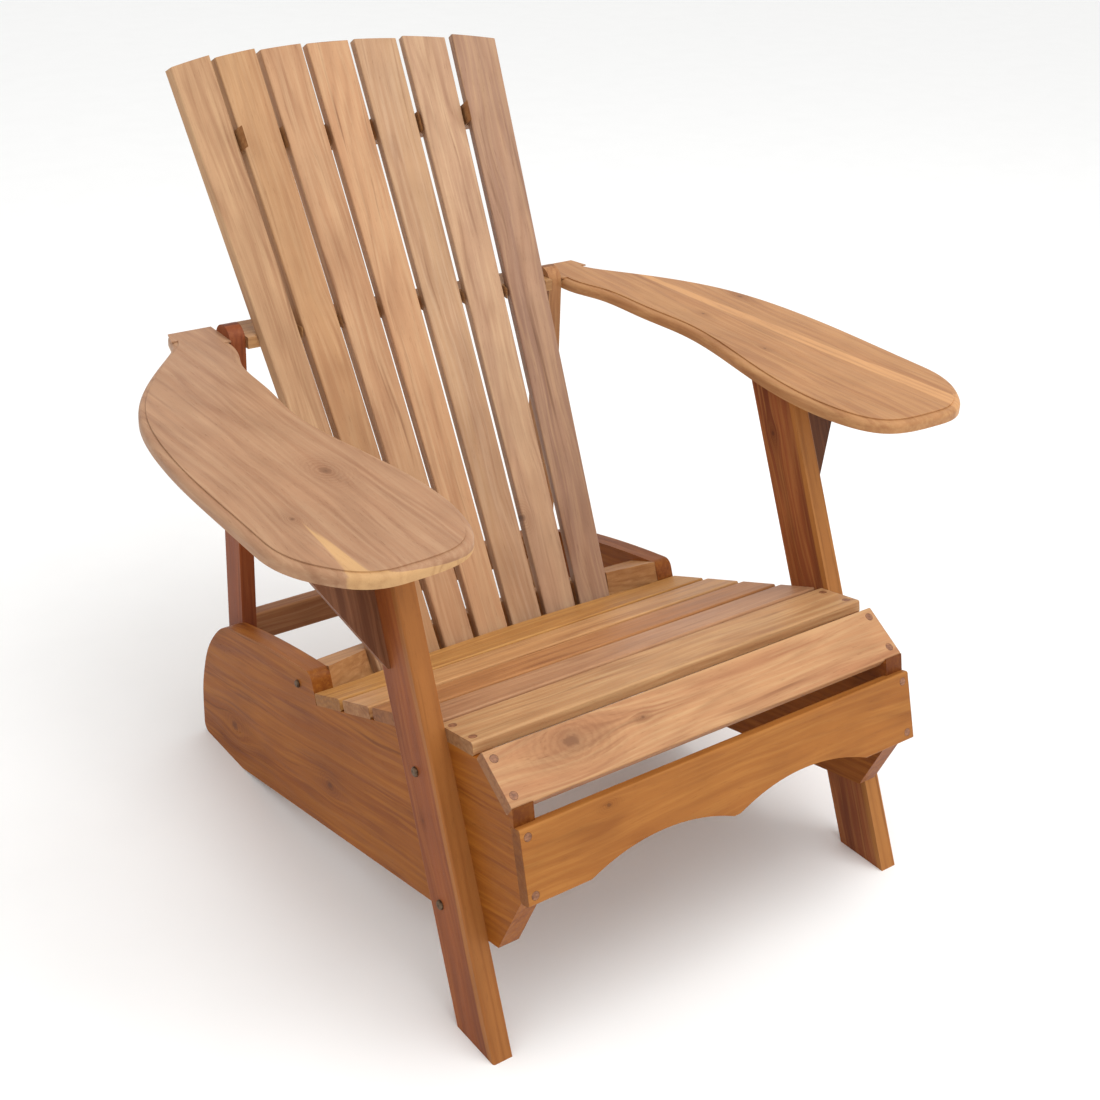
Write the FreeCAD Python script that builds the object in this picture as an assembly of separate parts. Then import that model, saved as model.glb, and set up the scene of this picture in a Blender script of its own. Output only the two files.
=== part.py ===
import FreeCAD, Part
import math
import os

# Slatted garden chair with a reclined fan back, wide arms and a waterfall seat front.
# Lengths are in millimetres. +X is the sitter's left, -Y is the front, +Z is up.
# While building, y = 0 is the front foot edge of the front legs and z = 0 is the ground.
# The last section moves every piece so that the origin is the bottom centre of the whole chair.

# ---- driving sizes -------------------------------------------------------------------------
seat_half_width = 280.0      # middle of the chair to the outer face of a side board
side_thickness = 26.0        # side boards
leg_thickness = 24.0         # front legs
leg_depth = 71.7             # front leg, measured level from front to rear
leg_lean = 22.5              # front leg, degrees back from upright
slat_thickness = 15.0        # seat slats, waterfall slat and apron
slat_width = 64.0            # flat seat slats
slat_gap = 9.0               # gap between flat seat slats
seat_pitch = 20.9            # slope of the flat seat slats, degrees
seat_rear = (425.6, 224.8)   # top rear edge of the rearmost seat slat, (y, z)
front_slat_width = 66.0      # the flat slat at the front, which is less steep
front_slat_pitch = 10.4
front_slat_front = (86.0, 342.0)
waterfall_width = 66.7       # the slat that rolls down over the front
waterfall_pitch = 32.9
waterfall_top = (69.0, 340.6)
apron_height = 83.0
apron_pitch = 75.0
apron_top = (-0.1, 286.7)
apron_arch_rise = 21.0       # two shallow arches along the apron's lower edge
apron_arch_span = 201.0
edge_round = 2.5             # eased edges of the boards

back_foot = (455.4, 211.9)   # front face of the middle back slat where it passes the seat, (y, z)
back_lean = 31.0             # back slats, degrees back from upright
back_height = 814.0          # along the middle back slat, seat to top
back_below = 24.0            # how far the back slats reach below the seat
back_slats = 7
back_thickness = 14.0
foot_pitch = 53.1            # spacing of the back slats at the seat
top_pitch = 71.4             # and at the top of the middle slat
back_gap = 8.2               # gap between back slats
foot_hollow = 17.3           # how far the back curves forward 200 mm from the middle, at the seat
top_hollow = 23.2            # the same at the top
top_arch_radius = 1200.0     # gentle arch across the tops of the slats

arm_height = 595.0           # top of the arm at its tail
arm_thickness = 15.0
arm_rail_behind = 26.0       # arm rail, behind the middle back slat
arm_rail_ahead = 36.0        # and in front of that slat's rear face, at the ends
post_thickness = 20.5
post_depth = 41.5
post_above = 12.0            # how far a rear post stands above the arm
post_bottom = 76.0
stretcher_height = 41.0
stretcher_thickness = 20.0
stretcher_top = 203.0
arm_drop = 1.8               # arms fall towards the front, degrees
gusset_thickness = 18.5
gusset_reach = 124.0         # how far a gusset reaches out under its arm
gusset_drop = 205.0          # and how far down its leg
arm_step = 1.8               # the edge of an arm lies this much below its top face
arm_bead = 9.0               # and is this wide
fit = 0.3                    # clearance round a plug, screw, bolt or dowel


# ---- helpers -------------------------------------------------------------------------------
def vec(x, y, z):
    return FreeCAD.Vector(x, y, z)


def polygon(points):
    return Part.Face(Part.makePolygon(points + [points[0]]))


def across(profile, x0, x1):
    """Extrudes a (y, z) profile from x0 to x1."""
    face = polygon([vec(x0, y, z) for y, z in profile])
    return face.extrude(vec(x1 - x0, 0, 0))


def along(point, angle, distance):
    """The (y, z) point that lies this far behind and below the given one, at a slope in degrees."""
    a = math.radians(angle)
    return (point[0] + distance * math.cos(a), point[1] - distance * math.sin(a))


def below(point, angle, depth):
    """The (y, z) point this deep under a board's top face, where the board has that slope."""
    a = math.radians(angle)
    return (point[0] - depth * math.sin(a), point[1] - depth * math.cos(a))


def crossing(p, p_angle, q, q_angle):
    """Where the line through p and the line through q meet, both given as (y, z) and a slope."""
    a = math.radians(p_angle)
    b = math.radians(q_angle)
    across_gap = (q[0] - p[0]) * -math.sin(b) - (q[1] - p[1]) * math.cos(b)
    turn = math.cos(a) * -math.sin(b) + math.sin(a) * math.cos(b)
    return along(p, p_angle, across_gap / turn)


def round_edges(shape, radius, chosen):
    """Rounds the edges that the test picks."""
    edges = [e for e in shape.Edges if chosen(e)]
    return shape.makeFillet(radius, edges) if edges else shape


def runs_across(edge):
    """True for a straight edge along X."""
    if not isinstance(edge.Curve, Part.Line):
        return False
    return abs(edge.tangentAt(edge.FirstParameter).x) > 0.999


def mirror(shape):
    return shape.mirror(vec(0, 0, 0), vec(1, 0, 0))


def rod(start, direction, radius, length):
    return Part.makeCylinder(radius, length, start, direction)


def bore(shape, rods):
    """Cuts a list of holes from a shape."""
    return shape.cut(rods) if rods else shape


# ---- seat ----------------------------------------------------------------------------------
seat_step = slat_width + slat_gap
front_rear = along(front_slat_front, front_slat_pitch, front_slat_width)
side_inner = seat_half_width - side_thickness


def board_profile(front_top, pitch, width):
    """Section of a seat board, from its top front corner, in (y, z)."""
    rear_top = along(front_top, pitch, width)
    rear_low = below(rear_top, pitch, slat_thickness)
    front_low = below(front_top, pitch, slat_thickness)
    return [front_top, rear_top, rear_low, front_low]


def seat_board(front_top, pitch, width):
    """A board across the seat, its ends flush with the outer faces of the side boards."""
    board = across(board_profile(front_top, pitch, width), -seat_half_width, seat_half_width)
    return round_edges(board, edge_round, runs_across)


def flat_slat_front(index):
    """Top front corner of a flat slat. Slat 0 is the rearmost."""
    return along(seat_rear, seat_pitch, -index * seat_step - slat_width)


def rear_slat():
    """The rearmost slat, whose rear edge bulges back to follow the curved back."""
    board = seat_board(flat_slat_front(0), seat_pitch, slat_width)
    half = back_slats / 2 * foot_pitch + 26.0
    bulge = 17.0
    lift = 10.0
    start = along(seat_rear, seat_pitch, -lift)
    tip = along(seat_rear, seat_pitch, bulge)
    left = vec(-half, seat_rear[0], seat_rear[1])
    right = vec(half, seat_rear[0], seat_rear[1])
    arc = Part.Arc(left, vec(0, tip[0], tip[1]), right).toShape()
    inner_right = vec(half, start[0], start[1])
    inner_left = vec(-half, start[0], start[1])
    sides = Part.makePolygon([right, inner_right, inner_left, left])
    face = Part.Face(Part.Wire([arc] + sides.Edges))
    down = below((0.0, 0.0), seat_pitch, slat_thickness)
    tongue = face.extrude(vec(0, down[0], down[1]))
    return board.fuse(tongue).removeSplitter()


def apron_foot():
    """Lower front edge of the apron, (y, z)."""
    return along(apron_top, -apron_pitch, -apron_height)


def apron():
    """The upright board under the waterfall slat, with two arches cut in its lower edge."""
    low = apron_foot()
    board = seat_board(low, -apron_pitch, apron_height)
    crown = along(low, -apron_pitch, apron_arch_rise)
    drop = along((0.0, 0.0), -apron_pitch, -8.0)
    front = below(low, -apron_pitch, -5.0)
    back = below(low, -apron_pitch, slat_thickness + 5.0)
    for side in (-1, 1):
        near = vec(side * 2.0, low[0], low[1])
        far = vec(side * (2.0 + apron_arch_span), low[0], low[1])
        arc = Part.Arc(near, vec((near.x + far.x) / 2, crown[0], crown[1]), far).toShape()
        down = vec(0, drop[0], drop[1])
        sides = Part.makePolygon([far, far.add(down), near.add(down), near])
        face = Part.Face(Part.Wire([arc] + sides.Edges))
        face.translate(vec(0, front[0] - low[0], front[1] - low[1]))
        board = board.cut(face.extrude(vec(0, back[0] - front[0], back[1] - front[1])))
    return board


def waterfall_front():
    """Lower front edge of the waterfall slat, (y, z)."""
    return along(waterfall_top, -waterfall_pitch, -waterfall_width)


def waterfall_slat():
    return seat_board(waterfall_front(), -waterfall_pitch, waterfall_width)


# ---- places that follow from the back ------------------------------------------------------
lean = math.radians(back_lean)
back_at_arm = back_foot[0] + (arm_height - back_foot[1]) * math.tan(lean) + back_thickness / math.cos(lean)
arm_rail_front = back_at_arm - arm_rail_ahead
arm_rail_rear = back_at_arm + arm_rail_behind
arm_tail = (arm_rail_rear, arm_height)    # top rear edge of an arm, (y, z)
post_front = arm_rail_front + 6.5
post_top = arm_height + post_above


# ---- side boards ---------------------------------------------------------------------------
foot_rear = post_front + post_depth + 38.0
foot_front = foot_rear - 116.0     # where the underside reaches the ground
tip = (30.3, 121.3)                # lower front corner
hump_rear = (foot_rear - 94.0, 202.5)
hump_slope = 11.3                  # chord of the top edge behind the seat, degrees
hump_swell = 3.6                   # how far that edge arches above its chord


def side_board():
    """Seat rail and rear leg in one board, standing on its rounded rear foot."""
    under_rear = below(seat_rear, seat_pitch, slat_thickness)
    under_front = below(front_slat_front, front_slat_pitch, slat_thickness)
    knee = crossing(under_rear, seat_pitch, under_front, front_slat_pitch)
    fall_top = below(waterfall_top, -waterfall_pitch, slat_thickness)
    fall_low = below(waterfall_front(), -waterfall_pitch, slat_thickness)
    brow = crossing(under_front, front_slat_pitch, fall_top, -waterfall_pitch)
    apron_back_top = below(apron_top, -apron_pitch, slat_thickness)
    apron_back_low = below(apron_foot(), -apron_pitch, slat_thickness)
    shoulder_foot = along(under_rear, seat_pitch, 1.0)
    shoulder = crossing(shoulder_foot, seat_pitch - 90, hump_rear, hump_slope)
    middle = ((shoulder[0] + hump_rear[0]) / 2, (shoulder[1] + hump_rear[1]) / 2)
    crest = below(middle, hump_slope, -hump_swell)
    falls = [(49.5, 29.5), (21.5, 68.0), (5.5, 113.5)]
    heel = (foot_rear, 45.0)
    rear_run = [hump_rear] + [(foot_rear - back, hump_rear[1] - down) for back, down in falls] + [heel]
    lower = [heel, (foot_rear, 0.0), (foot_front, 0.0), tip, apron_back_low, apron_back_top]
    nose = [
        along(apron_back_top, 90 - apron_pitch, -6.0),
        along(fall_low, 90 - waterfall_pitch, -16.0),
        along(fall_low, 90 - waterfall_pitch, -7.5),
    ]
    upper = [fall_low, brow, knee, shoulder_foot]
    x = -side_inner
    first = Part.makeLine(vec(x, *shoulder_foot), vec(x, *shoulder))
    arc = Part.Arc(vec(x, *shoulder), vec(x, *crest), vec(x, *hump_rear)).toShape()
    curve = Part.BSplineCurve()
    slope = math.radians(hump_slope + 3.7)
    curve.interpolate(
        [vec(x, y, z) for y, z in rear_run],
        InitialTangent=vec(0, math.cos(slope), -math.sin(slope)),
        FinalTangent=vec(0, 0, -1),
    )
    last = Part.makePolygon([vec(x, y, z) for y, z in lower + nose + upper])
    outline = Part.Wire([first, arc, curve.toShape()] + last.Edges)
    board = Part.Face(outline).extrude(vec(-side_thickness, 0, 0))

    def corner(edge):
        at = edge.CenterOfMass
        near_shoulder = abs(at.y - shoulder[0]) < 1 and abs(at.z - shoulder[1]) < 1
        near_heel = abs(at.y - foot_rear) < 1 and at.z < 1
        return runs_across(edge) and (near_shoulder or near_heel)

    return round_edges(board, 13.0, corner)


# ---- front legs, gussets and arms ----------------------------------------------------------
leg_slope = math.tan(math.radians(leg_lean))
arm_angle = math.radians(arm_drop)


def arm_under(y):
    """Height of an arm's underside at this y."""
    drop = (arm_tail[0] - y) * math.tan(arm_angle)
    return arm_tail[1] - drop - arm_thickness / math.cos(arm_angle)


def leg_profile(front_inset, rear_inset):
    """Section of a leaning upright whose top follows the arm, in (y, z)."""
    def top(offset):
        a = math.tan(arm_angle)
        under_zero = arm_under(0.0)
        y = (offset + leg_slope * under_zero) / (1 - leg_slope * a)
        return (y, arm_under(y))
    return top(front_inset), top(leg_depth - rear_inset)


def front_leg():
    """A leaning front leg outside the side board, from the ground to the arm."""
    top_front, top_rear = leg_profile(0.0, 0.0)
    profile = [(0.0, 0.0), top_front, top_rear, (leg_depth, 0.0)]
    leg = across(profile, -seat_half_width - leg_thickness, -seat_half_width)

    def long_edge(edge):
        straight = isinstance(edge.Curve, Part.Line)
        return straight and edge.Length > 400 and edge.CenterOfMass.x < -seat_half_width - 1

    return round_edges(leg, edge_round, long_edge)


def gusset():
    """A triangular bracket on a leg's outer face, under the arm and nearly flush with the leg's rear."""
    inset = 1.0
    front = leg_depth - inset - gusset_thickness / math.cos(math.radians(leg_lean))
    top_front, top_rear = leg_profile(front, inset)
    x0 = -seat_half_width - leg_thickness
    reach_down = math.cos(math.radians(leg_lean)) * gusset_drop

    def plate(y, z):
        """The bracket's outline at its front or rear face, starting from the arm's underside."""
        foot = vec(x0, y - leg_slope * reach_down, z - reach_down)
        return [vec(x0, y, z), vec(x0 - gusset_reach, y, z), foot.add(vec(-3.0, 0, 0)), foot]

    front_face = plate(*top_front)
    shift = vec(0, top_rear[0] - top_front[0], 0)
    body = polygon(front_face).extrude(shift)
    tall = vec(0, leg_slope * 30, 30)
    cap = Part.makeBox(400, 300, 60, vec(-500, -150, 0))
    cap.rotate(vec(0, 0, 0), vec(1, 0, 0), arm_drop)
    cap.translate(vec(0, top_front[0], top_front[1]))
    near, far = front_face[0], front_face[1]
    more = polygon([near, far, far.add(tall), near.add(tall)]).extrude(shift)
    return body.fuse(more).removeSplitter().cut(cap)


arm_front = 67.0             # front of the arm, y
tail_width = 58.0            # the square tail beside the rear post
arm_width = 212.0            # inner side of the tail to the outer edge of the arm
nose_at = 116.0              # how far out the arm's front edge is furthest forward


def arm_point(out, part, inset_x=0.0, inset_y=0.0):
    """A point on the arm's outline, this far out from its inner side and this part of its length back."""
    return vec(side_inner + out + inset_x, arm_front + part * (arm_rail_rear - arm_front) + inset_y, 0)


def arm_wire(inset):
    """Outline of the arm seen from above, moved in by inset, open across the tail."""
    wide = arm_width
    outer = [
        arm_point(tail_width + 7.0, 0.961, -inset),
        arm_point(wide * 0.41, 0.909, -inset),
        arm_point(wide * 0.65, 0.815, -inset),
        arm_point(wide * 0.89, 0.673, -inset),
        arm_point(wide - 3.0, 0.503, -inset),
        arm_point(wide, 0.178, -inset),
    ]
    inner = [
        arm_point(0.0, 0.148, inset),
        arm_point(8.0, 0.33, inset),
        arm_point(31.0, 0.58, inset),
        arm_point(24.0, 0.69, inset),
        arm_point(16.0, 0.82, inset),
        vec(side_inner + inset, post_front - 2.0, 0),
    ]
    front = arm_point(nose_at, 0.0, 0.0, inset)
    shoulder = arm_point(wide - 33.0, 0.048, -inset * 0.7, inset * 0.7)
    knuckle = arm_point(26.0, 0.032, inset * 0.7, inset * 0.7)
    side = Part.BSplineCurve()
    side.interpolate(outer, InitialTangent=vec(1, -3, 0), FinalTangent=vec(0, -1, 0))
    nose_out = Part.BSplineCurve()
    nose_out.interpolate(
        [outer[-1], shoulder, front], InitialTangent=vec(0, -1, 0), FinalTangent=vec(-1, 0, 0)
    )
    nose_in = Part.BSplineCurve()
    nose_in.interpolate(
        [front, knuckle, inner[0]], InitialTangent=vec(-1, 0, 0), FinalTangent=vec(-0.1, 1, 0)
    )
    waist = Part.BSplineCurve()
    waist.interpolate(inner, InitialTangent=vec(-0.1, 1, 0), FinalTangent=vec(0, 1, 0))
    return [side.toShape(), nose_out.toShape(), nose_in.toShape(), waist.toShape()]


def arm_plate(inset, top, bottom, radius):
    """A level plate with the arm's outline moved in by inset, but with the full tail, its edge rounded."""
    curves = arm_wire(inset)
    full = arm_wire(0.0)
    rear = arm_tail[0]
    corners = [
        curves[-1].lastVertex().Point,
        full[-1].lastVertex().Point,
        vec(side_inner, rear, 0),
        vec(side_inner + tail_width, rear, 0),
        full[0].firstVertex().Point,
        curves[0].firstVertex().Point,
    ]
    if inset == 0:
        corners = corners[1:5]
    plate = Part.Face(Part.Wire(curves + Part.makePolygon(corners).Edges))
    plate.translate(vec(0, 0, top))
    plate = plate.extrude(vec(0, 0, bottom - top))

    def rounded(edge):
        at = edge.CenterOfMass
        return abs(at.z - top) < 0.01 and isinstance(edge.Curve, Part.BSplineCurve) and edge.Length > 40

    return round_edges(plate, radius, rounded)


def arm():
    """A paddle-shaped arm whose rounded edge is stepped down, except at its square tail."""
    base = arm_plate(0.0, -arm_step, -arm_thickness, 6.0)
    field = arm_plate(arm_bead, 0.0, -arm_step, 0.6)
    board = mirror(base.fuse(field).removeSplitter())
    board.translate(vec(0, -arm_tail[0], 0))
    board.rotate(vec(0, 0, 0), vec(1, 0, 0), arm_drop)
    board.translate(vec(0, arm_tail[0], arm_tail[1]))
    return board


# ---- back ----------------------------------------------------------------------------------
def back_point(x, s, n):
    """The point s up the leaning back and n behind the middle slat's front face."""
    y = back_foot[0] + s * math.sin(lean) + n * math.cos(lean)
    z = back_foot[1] + s * math.cos(lean) - n * math.sin(lean)
    return vec(x, y, z)


def hollow(s):
    return foot_hollow + (top_hollow - foot_hollow) * s / back_height


def pitch_at(s):
    return foot_pitch + (top_pitch - foot_pitch) * s / back_height


def slat_axes(index):
    """Foot, unit directions across, up and backwards, and length of a back slat. Slat 0 is the middle one."""
    x0 = index * foot_pitch
    x1 = index * top_pitch
    foot = back_point(x0, 0.0, -foot_hollow * (x0 / 200.0) ** 2)
    head = back_point(x1, back_height, -top_hollow * (x1 / 200.0) ** 2)
    up = head.sub(foot)
    length = up.Length
    up.normalize()
    middle = back_height / 2
    turn = -2.0 * hollow(middle) * index * pitch_at(middle) / 200.0 ** 2
    side = back_point(1.0, 0.0, turn).sub(back_point(0.0, 0.0, 0.0))
    rearward = side.cross(up)
    rearward.normalize()
    if rearward.y < 0:
        rearward = rearward.multiply(-1.0)
    side = up.cross(rearward)
    side.normalize()
    if side.x < 0:
        side = side.multiply(-1.0)
    return foot, side, up, rearward, length


def place(axes, u, v, w):
    foot, side, up, rearward, length = axes
    return foot.add(side * u).add(up * v).add(rearward * w)


def half_width(s, margin):
    return (pitch_at(s) - back_gap) / 2 + margin


def arch_at(x):
    """How far the top of the back stands at this x, along the middle slat."""
    return back_height - (top_arch_radius - math.sqrt(top_arch_radius ** 2 - x ** 2))


def back_slat(index):
    """A straight tapered slat, turned to face the middle of the back, its top on the arch."""
    axes = slat_axes(index)
    stretch = axes[4] / back_height
    low = half_width(-back_below, 0.0)
    wide = half_width(back_height, 0.0)
    middle_x = index * top_pitch
    left = place(axes, -wide, arch_at(middle_x - wide) * stretch, 0.0)
    crown = place(axes, 0.0, arch_at(middle_x) * stretch, 0.0)
    right = place(axes, wide, arch_at(middle_x + wide) * stretch, 0.0)
    arc = Part.Arc(left, crown, right).toShape()
    foot_left = place(axes, -low, -back_below, 0.0)
    foot_right = place(axes, low, -back_below, 0.0)
    sides = Part.makePolygon([right, foot_right, foot_left, left])
    slat = Part.Face(Part.Wire([arc] + sides.Edges)).extrude(axes[3] * back_thickness)

    def long_front_edge(edge):
        at = edge.CenterOfMass.sub(axes[0])
        return edge.Length > back_height / 2 and abs(at.dot(axes[3])) < 0.01

    return round_edges(slat, edge_round, long_front_edge)


def seat_for(index):
    """Everything in front of a slat's rear face, as wide as the slat and half a gap each side."""
    axes = slat_axes(index)
    spare = back_gap / 2 + 0.15
    low = half_width(-60.0, spare)
    high = half_width(back_height, spare)
    corners = [(-low, -60.0), (low, -60.0), (high, back_height), (-high, back_height)]
    face = polygon([place(axes, u, v, back_thickness) for u, v in corners])
    return face.extrude(axes[3] * -150.0)


slat_numbers = range(-(back_slats // 2), back_slats // 2 + 1)
top_rail_low = back_height - 139.0
top_rail_high = top_rail_low + 28.0
top_rail_half = (back_slats / 2 - 0.2) * pitch_at(top_rail_low)
top_rail_depth = 22.0
low_rail_up = 41.0
low_rail_down = 10.0
low_rail_end_depth = 52.0
low_rail_depth = 76.0


def seated(blank):
    """Cuts flats for the slats in the front of a rail."""
    return blank.cut([seat_for(i) for i in slat_numbers])


def top_rail_rear(x):
    return back_thickness + top_rail_depth - hollow(top_rail_low) * (x / 200.0) ** 2


def top_rail():
    """A curved batten behind the slats near their tops."""
    h = top_rail_half
    ends = [back_point(x, top_rail_low, top_rail_rear(x)) for x in (-h, 0.0, h)]
    arc = Part.Arc(ends[0], ends[1], ends[2]).toShape()
    front_right = back_point(h, top_rail_low, -60.0)
    front_left = back_point(-h, top_rail_low, -60.0)
    sides = Part.makePolygon([ends[2], front_right, front_left, ends[0]])
    rise = back_point(0.0, top_rail_high, 0.0).sub(back_point(0.0, top_rail_low, 0.0))
    return seated(Part.Face(Part.Wire([arc] + sides.Edges)).extrude(rise))


def arm_rail():
    """A level rail between the rear posts, as thick as the arms and hollowed in front to carry the slats."""
    x = side_inner - post_thickness
    low = arm_height - arm_thickness
    blank = Part.makeBox(2 * x, arm_rail_rear - arm_rail_front, arm_thickness, vec(-x, arm_rail_front, low))

    def rear_corner(edge):
        at = edge.CenterOfMass
        return abs(at.y - arm_rail_rear) < 0.1 and abs(abs(at.x) - x) < 0.1 and edge.Length < 50

    return seated(round_edges(blank, 16.0, rear_corner))


def low_point(x, up, back):
    """The point this far up and back from the rearmost seat slat's lower rear edge, square to the seat."""
    start = along(below(seat_rear, seat_pitch, slat_thickness), seat_pitch, 2.0)
    y, z = along(below(start, seat_pitch, -up), seat_pitch, back)
    return vec(x, y, z)


def low_rail_rear(x):
    """Depth of the low rail's rear face, which is a shallow arc."""
    return low_rail_depth - (low_rail_depth - low_rail_end_depth) * (x / side_inner) ** 2


def low_rail():
    """The rail that carries the feet of the slats, between the side boards behind the seat."""
    e = side_inner
    down = -low_rail_down
    end = low_rail_end_depth
    rear = [low_point(e, down, end), low_point(0.0, down, low_rail_depth), low_point(-e, down, end)]
    arc = Part.Arc(*rear).toShape()
    step = e - 64.0
    front = [(-e, end), (-e, 0.0), (-step, 26.0), (step, 26.0), (e, 0.0), (e, end)]
    sides = Part.makePolygon([low_point(x, down, back) for x, back in front])
    rise = low_point(0.0, low_rail_up, 0.0).sub(low_point(0.0, down, 0.0))
    return seated(Part.Face(Part.Wire([arc] + sides.Edges)).extrude(rise))


def post():
    """An upright rear post against the inner face of a side board, its top rounded."""
    blank = Part.makeBox(
        post_thickness, post_depth, post_top - post_bottom, vec(-side_inner, post_front, post_bottom)
    )


    def top_edge(edge):
        return runs_across(edge) and edge.CenterOfMass.z > post_top - 1

    return round_edges(blank, post_depth / 2 - 0.5, top_edge)


def stretcher():
    """A level board between the rear posts, under the arms."""
    x = side_inner - post_thickness
    low = stretcher_top - stretcher_height
    blank = Part.makeBox(2 * x, stretcher_thickness, stretcher_height, vec(-x, post_front, low))
    return round_edges(blank, edge_round, runs_across)


# ---- plugs, screws, bolts and dowels -------------------------------------------------------
plug_radius = 4.6
plug_depth = 4.0
plug_inset = 9.5             # plugs, in from the outer faces of the side boards
screw_head = 4.0
screw_radius = 2.2
dowel_radius = 4.0
bolt_radius = 3.0
bolt_head = 5.6
rail_bolt_head = 5.0
nut_corner = 5.8
nut_height = 5.0
washer_radius = 6.0


def screw(at, direction, length):
    """A flat-headed screw, its head flush at this point."""
    head = rod(at, direction, screw_head, 2.6)
    return head.fuse(rod(at, direction, screw_radius, length)).removeSplitter()


def screw_hole(at, direction, length):
    return [rod(at, direction, screw_head + fit, 2.6), rod(at, direction, screw_radius + fit, length + fit)]


def screw_access(at, direction):
    """The countersink's mouth, from the screw's head out past the board's surface."""
    return rod(at.sub(direction * 6.0), direction, screw_head + fit, 6.0)


def plugged_screws(front_top, pitch, distances):
    """Plugs, screws and holes near both ends of a seat board, at these distances from its front edge."""
    plugs = []
    screws = []
    holes = []
    inward = below((0.0, 0.0), pitch, 1.0)
    direction = vec(0, inward[0], inward[1])
    for side in (-1, 1):
        x = side * (seat_half_width - plug_inset)
        for distance in distances:
            y, z = along(front_top, pitch, distance)
            at = vec(x, y, z)
            sunk = at.add(direction * plug_depth)
            plugs.append(rod(at, direction, plug_radius, plug_depth))
            screws.append(screw(sunk, direction, 34.0))
            holes.append(rod(at, direction, plug_radius + fit, plug_depth))
            holes += screw_hole(sunk, direction, 34.0)
    return plugs, screws, holes


def pegs(centre, direction, half):
    """A hidden dowel centred on a joint, and its hole."""
    start = centre.sub(direction * half)
    hole_start = centre.sub(direction * (half + fit))
    peg = rod(start, direction, dowel_radius, 2 * half)
    hole = rod(hole_start, direction, dowel_radius + fit, 2 * (half + fit))
    return peg, hole


def seat_pegs():
    """Dowels between the flat seat slats and the side boards."""
    found = []
    up = below((0.0, 0.0), seat_pitch, -1.0)
    for side in (-1, 1):
        for index in range(4):
            front = flat_slat_front(index)
            for distance in (16.0, slat_width - 16.0):
                y, z = below(along(front, seat_pitch, distance), seat_pitch, slat_thickness)
                centre = vec(side * (side_inner + side_thickness / 2), y, z)
                found.append(pegs(centre, vec(0, up[0], up[1]), 9.0))
    return found


def both(x, y, z, direction, half):
    """The same dowel on both sides of the chair."""
    turned = vec(-direction.x, direction.y, direction.z)
    return [pegs(vec(x, y, z), direction, half), pegs(vec(-x, y, z), turned, half)]


def tail_fixing(index):
    """Where along a rear post's depth the arm and the arm rail are fixed, in four even steps."""
    return post_front + post_depth * (0.18 + 0.23 * index)


def frame_pegs():
    """Dowels at the ends of the stretcher and arm rail, under the arms and in the gussets."""
    sideways = vec(1, 0, 0)
    upright = vec(0, 0, 1)
    inner = side_inner - post_thickness
    found = []
    for z in (stretcher_top - 13.0, stretcher_top - stretcher_height + 13.0):
        found += both(inner, post_front + stretcher_thickness / 2, z, sideways, 12.0)
    for y in (tail_fixing(0), tail_fixing(2)):
        found += both(inner, y, arm_height - arm_thickness / 2, sideways, 10.0)
    top_front = leg_profile(0.0, 0.0)[0]
    for offset in (16.0, 34.0):
        y = top_front[0] + offset
        found += both(seat_half_width + leg_thickness / 2, y, arm_under(y), upright, 8.5)
    for part in (0.2, 0.6):
        z = top_front[1] - part * gusset_drop * math.cos(math.radians(leg_lean))
        y = leg_slope * z + leg_depth - 1.0 - gusset_thickness / 2 / math.cos(math.radians(leg_lean))
        found += both(seat_half_width + leg_thickness, y, z, sideways, 14.0)
    return found


def on_leg(z, behind_middle):
    """The (y, z) place at this height, this far behind the middle line of a front leg."""
    return (leg_slope * z + leg_depth / 2 + behind_middle, z)


leg_bolt_places = [on_leg(276.6, 5.7), on_leg(137.9, 12.2)]
post_bolt_places = [(post_front + post_depth / 2, 104.0), (post_front + post_depth / 2, 150.0)]
rail_bolt_at = low_point(0.0, 22.8, 0.76 * low_rail_end_depth)


def bolt(x, y, z, length, head_radius):
    """A round-headed bolt whose head bears on the plane at x and whose shank runs towards +X."""
    head = rod(vec(x - 3.2, y, z), vec(1, 0, 0), head_radius, 3.2)
    head = round_edges(head, 2.4, lambda e: abs(e.CenterOfMass.x - (x - 3.2)) < 0.01)
    return head.fuse(rod(vec(x, y, z), vec(1, 0, 0), bolt_radius, length)).removeSplitter()


def bolt_hole(x, y, z, length):
    return rod(vec(x, y, z), vec(1, 0, 0), bolt_radius + fit, length + fit)


def washer(x, y, z):
    ring = rod(vec(x, y, z), vec(1, 0, 0), washer_radius, 1.6)
    return ring.cut(rod(vec(x, y, z), vec(1, 0, 0), bolt_radius + fit, 1.6))


def nut(x, y, z):
    turns = [math.radians(60 * k) for k in range(6)]
    corners = [vec(x, y + nut_corner * math.cos(a), z + nut_corner * math.sin(a)) for a in turns]
    body = polygon(corners).extrude(vec(nut_height, 0, 0))
    return body.cut(rod(vec(x, y, z), vec(1, 0, 0), bolt_radius + fit, nut_height))


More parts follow.
